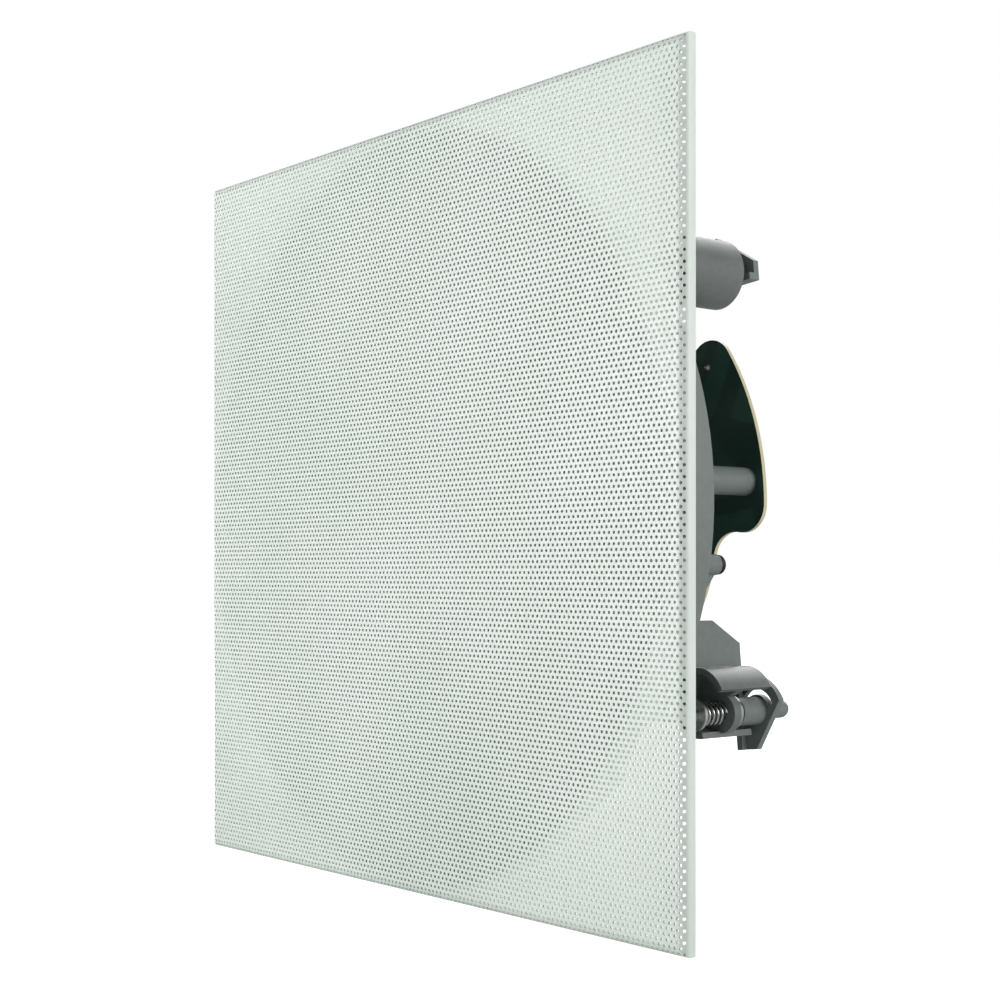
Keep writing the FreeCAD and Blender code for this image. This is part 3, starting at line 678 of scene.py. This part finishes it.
def wound_copper(name):
    """Enamelled copper wire in close layers, with painted shade in the grooves between the turns."""
    material, graph, shader = finish(name, Metallic=0.9, Coat_Weight=0.35, Coat_Roughness=0.12)
    place = graph.place()
    wire_pitch = 0.8 * MM
    turns = graph.math("SINE", graph.math("MULTIPLY", graph.parts(place)["Y"], 2.0 * math.pi / wire_pitch))
    crown_and_groove_shade = graph.stretch(turns, -1.0, 1.0)
    cloud = graph.noise(90.0, 3.0, 0.6, place)
    bright = graph.tint(cloud, srgb(186, 104, 62), srgb(214, 134, 84))
    # Painted shade: the colour goes to dark brown in the grooves between the turns, where the same wave dips.
    colour = graph.tint(crown_and_groove_shade, srgb(74, 34, 18), bright, 0.05, 0.45)
    wire(graph, shader, colour, graph.gloss(cloud, 0.24, 0.4), crown_and_groove_shade, 0.8, 0.25 * MM)
    return material


def dipped_cloth(name, dark, light, threads, rough, strength):
    """Woven cloth stiffened with resin, with painted shade between the threads."""
    material, graph, shader = finish(name)
    thread = graph.group(weave, Threads=threads)["Height"]
    soak = graph.noise(70.0, 4.0, 0.6, graph.place())
    colour = graph.tint(soak, dark, light)
    # Painted shade: the colour darkens toward the dark tone where the weave dips between the threads.
    colour = graph.mix(graph.stretch(thread, 0.2, 0.9, 0.35, 0.0), colour, dark)
    wire(graph, shader, colour, graph.gloss(soak, rough - 0.08, rough + 0.1), thread, strength, 0.1 * MM)
    return material


def ground_ferrite(name):
    """Dark sintered ceramic with pores, the pores painted near black as shade."""
    material, graph, shader = finish(name)
    cloud = graph.noise(160.0, 4.0, 0.65, graph.place())
    pit = graph.group(pores, Pores=900.0, Middle=0.08, Rim=0.3)["Mask"]
    colour = graph.tint(cloud, srgb(46, 46, 49), srgb(78, 78, 81), 0.35, 0.7)
    # Painted shade: the colour goes near black in the middle of each pore.
    colour = graph.mix(pit, srgb(26, 26, 28), colour)
    wire(graph, shader, colour, graph.gloss(cloud, 0.4, 0.6), pit, 0.3, 0.06 * MM)
    return material


def board_laminate(name):
    """Dark green solder resist over copper tracks, with the pale glass laminate at the cut edge."""
    material, graph, shader = finish(name, Coat_Weight=0.3, Coat_Roughness=0.15)
    place = graph.place()
    flat = graph.mapped(place, Scale=(1.0, 0.0, 1.0))
    pour = graph.node("ShaderNodeTexVoronoi", {"Vector": flat, "Scale": 26.0, "Randomness": 0.8},
                      feature="DISTANCE_TO_EDGE").outputs["Distance"]
    track = graph.stretch(pour, 0.035, 0.05)
    cloud = graph.noise(40.0, 3.0, 0.6, place)
    resist = graph.tint(cloud, srgb(40, 79, 69), srgb(46, 88, 76))
    resist = graph.mix(track, srgb(34, 68, 60), resist)
    normal = graph.node("ShaderNodeNewGeometry").outputs["True Normal"]
    edge = graph.math("LESS_THAN", graph.math("ABSOLUTE", graph.parts(normal)["Y"]), 0.5)
    glass = graph.mix(graph.noise(1500.0, 2.0, 0.6, place), srgb(198, 192, 150), srgb(222, 218, 186))
    colour = graph.mix(edge, resist, glass)
    roughness = graph.stretch(graph.math("ADD", cloud, edge), 0.3, 1.7, 0.26, 0.75)
    wire(graph, shader, colour, roughness, track, 0.4, 0.05 * MM)
    return material


def film_sleeve(name):
    """Glossy amber film wound round a capacitor, a little wrinkled."""
    material, graph, shader = finish(name, Coat_Weight=0.4, Coat_Roughness=0.1)
    place = graph.place()
    wrinkle = graph.noise(180.0, 3.0, 0.6, graph.mapped(place, Scale=(1.0, 0.4, 0.15)))
    cloud = graph.noise(70.0, 3.0, 0.5, place)
    colour = graph.tint(cloud, srgb(176, 138, 40), srgb(206, 168, 66))
    wire(graph, shader, colour, graph.gloss(wrinkle, 0.22, 0.38), wrinkle, 0.3, 0.1 * MM)
    return material


def fired_cement(name):
    """Porous white cement body of a power resistor, with painted shade in the pores."""
    material, graph, shader = finish(name)
    cloud = graph.noise(130.0, 4.0, 0.6, graph.place())
    pit = graph.group(pores, Pores=1400.0, Middle=0.05, Rim=0.28)["Mask"]
    colour = graph.tint(cloud, srgb(206, 202, 190), srgb(228, 226, 216), 0.35, 0.7)
    # Painted shade: the colour goes to a darker grey-brown in the middle of each pore.
    colour = graph.mix(pit, srgb(150, 145, 132), colour)
    wire(graph, shader, colour, graph.gloss(cloud, 0.7, 0.9), pit, 0.4, 0.08 * MM)
    return material


FINISHES = {
    "grille_paint": white_powder_coat("white_powder_coat"),
    "chassis_plastic": moulded_plastic("grey_moulding", srgb(112, 121, 117), srgb(126, 134, 130), 0.12),
    "barrel_plastic": moulded_plastic("grey_barrel", srgb(104, 111, 109), srgb(118, 124, 122), 0.1, 2200.0, 0.46),
    "tweeter_plastic": moulded_plastic("black_moulding", srgb(30, 30, 31), srgb(44, 44, 45), 0.15, 2400.0, 0.42),
    "magnet_plating": plated_metal("nickel_plate", srgb(190, 188, 182), srgb(222, 220, 214), 0.16, 0.05),
    "zinc_steel": plated_metal("zinc_plate", srgb(172, 176, 180), srgb(206, 206, 202), 0.32, 0.2),
    "tab_brass": plated_metal("tinned_brass", srgb(186, 176, 146), srgb(214, 206, 182), 0.3, 0.05),
    "spring_wire": plated_metal("drawn_wire", srgb(168, 168, 166), srgb(206, 206, 204), 0.24, 0.1),
    "black_screw": black_oxide("black_oxide"),
    "surround_rubber": soft_rubber("surround_rubber"),
    "cone_film": pressed_film("pressed_film"),
    "winding_copper": wound_copper("enamelled_copper"),
    "spider_cloth": dipped_cloth("dipped_cloth", srgb(146, 112, 52), srgb(190, 154, 86), 1100.0, 0.72, 0.5),
    "dome_cloth": dipped_cloth("dome_cloth", srgb(24, 23, 24), srgb(46, 44, 45), 2200.0, 0.5, 0.35),
    "ferrite": ground_ferrite("ground_ferrite"),
    "board_laminate": board_laminate("board_laminate"),
    "capacitor_sleeve": film_sleeve("film_sleeve"),
    "resistor_ceramic": fired_cement("fired_cement"),
}


def dress(piece, slot_name):
    """Put a slot's finish on a piece."""
    piece.data.materials.clear()
    piece.data.materials.append(FINISHES[slot_name])


# The solids in their finishes, and the new pieces
for subpart in frame["record"]["subparts"]:
    dress(frame["nodes"][subpart["node"]], subpart["material_slot"])

grille_pieces = [front_band(index) for index in range(FRONT_BANDS)] + [plain_edge()]
for piece in grille_pieces:
    dress(piece, "grille_paint")
    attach(piece, "chassis")
    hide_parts("grille")

for piece, node, slot_name in ((surround_roll(), "surround", "surround_rubber"),
                               (spider_disc(), "spider", "spider_cloth")):
    dress(piece, slot_name)
    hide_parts(node)

for node, name, slot_name in (("board_screws", "board_screw_heads", "zinc_steel"),
                              ("boss_screws", "boss_screw_heads", "black_screw")):
    piece = recessed_screws(node, name)
    dress(piece, slot_name)
    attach(piece, "chassis")
    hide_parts(node)

solder = solder_joints()
dress(solder, "tab_brass")
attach(solder, "chassis")


# Stage
def pale_floor():
    """A plain pale floor under the grille's lower edge, which fades to white away from the object."""
    clear_selection()
    bpy.ops.mesh.primitive_plane_add(size=FLOOR_SIZE, location=(0, 0, cad_low[2]))
    floor = bpy.context.object
    floor.name = "floor"
    material, graph, shader = finish("pale_floor", Roughness=0.9)
    place = graph.place()
    cloud = graph.noise(6.0, 2.0, 0.5, place)
    graph.link(graph.mix(cloud, srgb(202, 202, 202), srgb(206, 206, 206)), shader.inputs["Base Color"])
    away = graph.node("ShaderNodeVectorMath", {0: place}, operation="LENGTH").outputs["Value"]
    white = graph.tint(away, srgb(247, 247, 247), srgb(255, 255, 255), *FLOOR_FADE)
    seen = graph.node("ShaderNodeLightPath").outputs["Is Camera Ray"]
    glow = graph.node("ShaderNodeEmission", {"Color": white, "Strength": seen}).outputs[0]
    both = graph.node("ShaderNodeAddShader", {0: shader.outputs[0], 1: glow}).outputs[0]
    graph.link(both, graph.tree.nodes["Material Output"].inputs["Surface"])
    floor.data.materials.append(material)


def soft_light(name, place, aim, size, power):
    """A square soft box at a place, turned to look at a point."""
    clear_selection()
    bpy.ops.object.light_add(type="AREA", location=place)
    lamp = bpy.context.object
    lamp.name = name
    lamp.data.shape = "SQUARE"
    lamp.data.size = size
    lamp.data.energy = power
    toward = [goal - start for goal, start in zip(aim, place)]
    level = math.hypot(toward[0], toward[1])
    lamp.rotation_euler = (math.atan2(level, -toward[2]), 0.0, math.atan2(-toward[0], toward[1]))


def white_room():
    """White all round the object, with less light than it shows."""
    world = bpy.data.worlds.new("white_room")
    bpy.context.scene.world = world
    world.use_nodes = True
    graph = Graph(world.node_tree)
    seen = graph.node("ShaderNodeLightPath").outputs["Is Camera Ray"]
    background = world.node_tree.nodes["Background"]
    background.inputs["Color"].default_value = (1, 1, 1, 1)
    graph.link(graph.stretch(seen, 0.0, 1.0, ROOM_LIGHT, 1.0), background.inputs["Strength"])


def photo_camera():
    """The camera at the photograph's view."""
    clear_selection()
    bpy.ops.object.camera_add(location=CAMERA_PLACE, rotation=(QUARTER, 0.0, CAMERA_TURN))
    camera = bpy.context.object
    camera.data.lens = CAMERA_LENS
    camera.data.shift_y = CAMERA_RISE
    camera.data.clip_start = CAMERA_NEAR
    bpy.context.scene.camera = camera


pale_floor()
white_room()
for light in LIGHTS:
    soft_light(*light)
photo_camera()
bpy.context.scene.view_settings.view_transform = "Standard"
